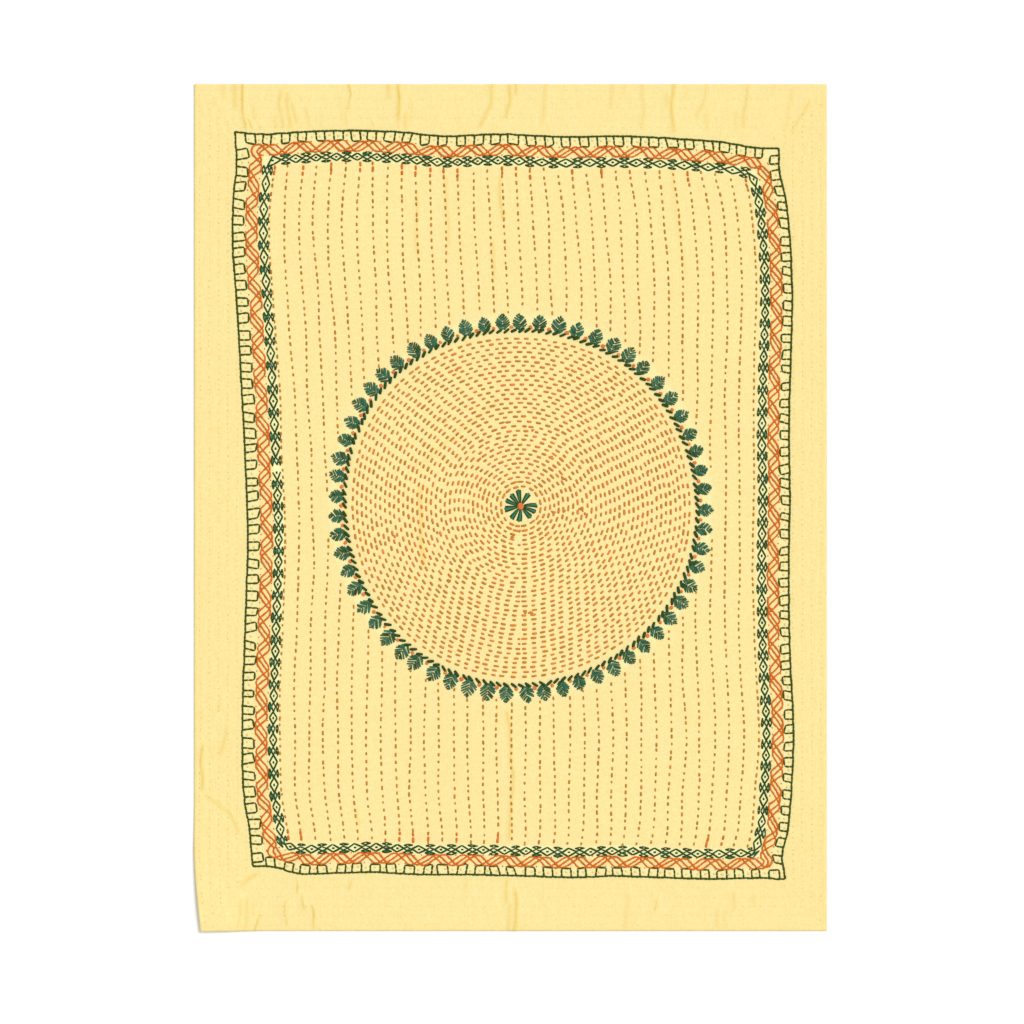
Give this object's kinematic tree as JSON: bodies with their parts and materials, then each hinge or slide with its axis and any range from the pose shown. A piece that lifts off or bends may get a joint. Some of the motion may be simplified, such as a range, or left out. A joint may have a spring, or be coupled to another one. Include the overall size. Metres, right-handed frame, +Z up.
{
  "type": "kantha quilt",
  "caption": "Flat cot-size quilt of cotton layers stitched through into one cloth, with embroidered border rows and a ringed disc; lies face up.",
  "frame": {"origin": "on the surface that the quilt lies on, under the middle of the quilt", "axes": "+X across the quilt, +Y up its length towards the head end, +Z up out of the face"},
  "size_m": [0.68, 0.91, 0.0086],
  "materials": {
    "yellow_cotton": "matt pale yellow plain-weave cotton",
    "yellow_thread": "matt yellow quilting thread",
    "orange_thread": "soft orange stranded cotton",
    "green_thread": "soft dark green stranded cotton"
  },
  "bodies": {
    "root": {"quilt": "yellow_cotton"}
  },
  "joints": []
}
